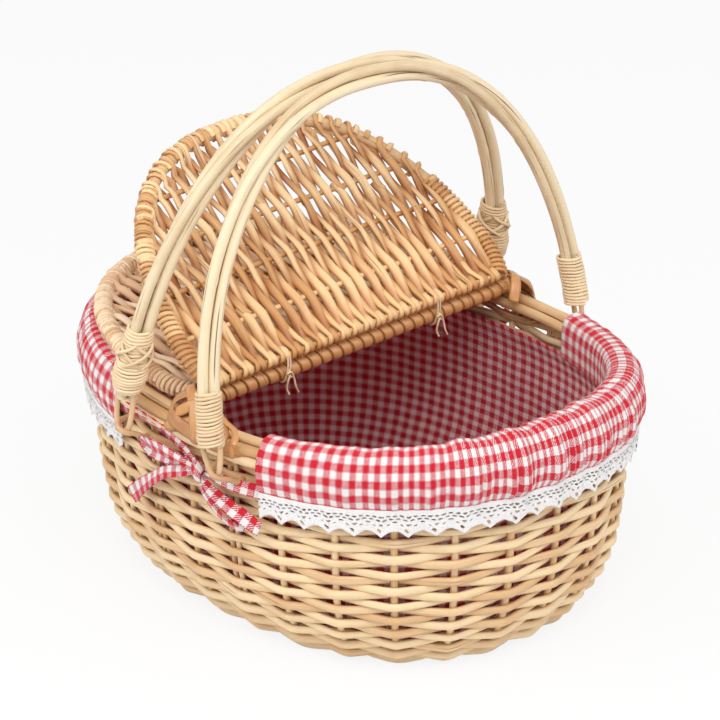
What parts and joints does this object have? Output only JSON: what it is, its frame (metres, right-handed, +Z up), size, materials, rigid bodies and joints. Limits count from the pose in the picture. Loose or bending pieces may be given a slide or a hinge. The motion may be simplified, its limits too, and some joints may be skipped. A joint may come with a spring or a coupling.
{
  "type": "picnic basket",
  "caption": "Oval willow picnic basket with two half lids hinged on a crossbar, two swing handles and a gingham cloth liner edged with lace.",
  "frame": {"origin": "middle of the underside, on the surface that the basket stands on", "axes": "+X along the long side, towards the open end; -Y towards the front; +Z up"},
  "size_m": [0.4174, 0.3624, 0.3677],
  "materials": {
    "body_willow": "peeled honey-tan willow, woven",
    "lid_willow": "peeled pinkish-tan willow, woven",
    "handle_willow": "bare pale willow rods",
    "cane": "split cane, brown",
    "binding": "fine olive-cream skein",
    "gingham": "red and off-white gingham cotton",
    "liner_cloth": "red and off-white gingham cotton, in shade",
    "lace": "white cotton eyelet lace"
  },
  "bodies": {
    "root": {"side_weave": "body_willow", "side_weave_2": "body_willow", "side_weave_3": "body_willow", "side_weave_4": "body_willow", "side_weave_5": "body_willow", "side_weave_6": "body_willow", "side_weave_top": "body_willow", "base_mat": "body_willow", "stakes_and_border": "body_willow", "rim_rod_outer": "handle_willow", "rim_rod_top": "handle_willow", "rim_rod_inner": "handle_willow", "crossbar": "cane", "crossbar_wrap": "cane", "lashing_front": "cane", "lashing_back": "cane", "lid_tie_front": "binding", "lid_tie_back": "binding", "rim_eye_far_front": "handle_willow", "rim_eye_far_back": "handle_willow", "rim_eye_near_front": "handle_willow", "rim_eye_near_back": "handle_willow", "liner": "liner_cloth", "cuff_near": "gingham", "lace_near": "lace", "cuff_far": "gingham", "lace_far": "lace", "bow_front": "gingham", "bow_back": "gingham"},
    "near_lid": {"near_lid_bow": "lid_willow", "near_lid_hinge_bar": "lid_willow", "near_lid_weave": "lid_willow", "near_lid_rib_1": "lid_willow", "near_lid_rib_2": "lid_willow", "near_lid_rib_3": "lid_willow", "near_lid_rib_4": "lid_willow"},
    "far_lid": {"far_lid_bow": "lid_willow", "far_lid_hinge_bar": "lid_willow", "far_lid_weave": "lid_willow", "far_lid_rib_1": "lid_willow", "far_lid_rib_2": "lid_willow", "far_lid_rib_3": "lid_willow", "far_lid_rib_4": "lid_willow"},
    "far_handle": {"far_handle_rod_1": "handle_willow", "far_handle_rod_2": "handle_willow", "far_handle_rod_3": "handle_willow", "far_handle_whipping_front": "binding", "far_handle_eye_front": "binding", "far_handle_whipping_back": "binding", "far_handle_eye_back": "binding"},
    "near_handle": {"near_handle_rod_1": "handle_willow", "near_handle_rod_2": "handle_willow", "near_handle_rod_3": "handle_willow", "near_handle_whipping_front": "binding", "near_handle_eye_front": "binding", "near_handle_whipping_back": "binding", "near_handle_eye_back": "binding"}
  },
  "joints": [
    {"name": "near_lid_hinge", "type": "hinge", "parent": "root", "child": "near_lid", "pos_m": [0.005, 0, 0.16902], "axis": [0, 1, 0], "range_deg": [0, 137.2]},
    {"name": "far_lid_hinge", "type": "hinge", "parent": "root", "child": "far_lid", "pos_m": [-0.005, 0, 0.16902], "axis": [0, 1, 0], "range_deg": [0, 24]},
    {"name": "far_handle_swing", "type": "hinge", "parent": "root", "child": "far_handle", "pos_m": [-0.047, 0, 0.138], "axis": [0, -1, 0], "range_deg": [0, 99.8]},
    {"name": "near_handle_swing", "type": "hinge", "parent": "root", "child": "near_handle", "pos_m": [0.047, 0, 0.138], "axis": [0, 1, 0], "range_deg": [0, 99.8]}
  ]
}
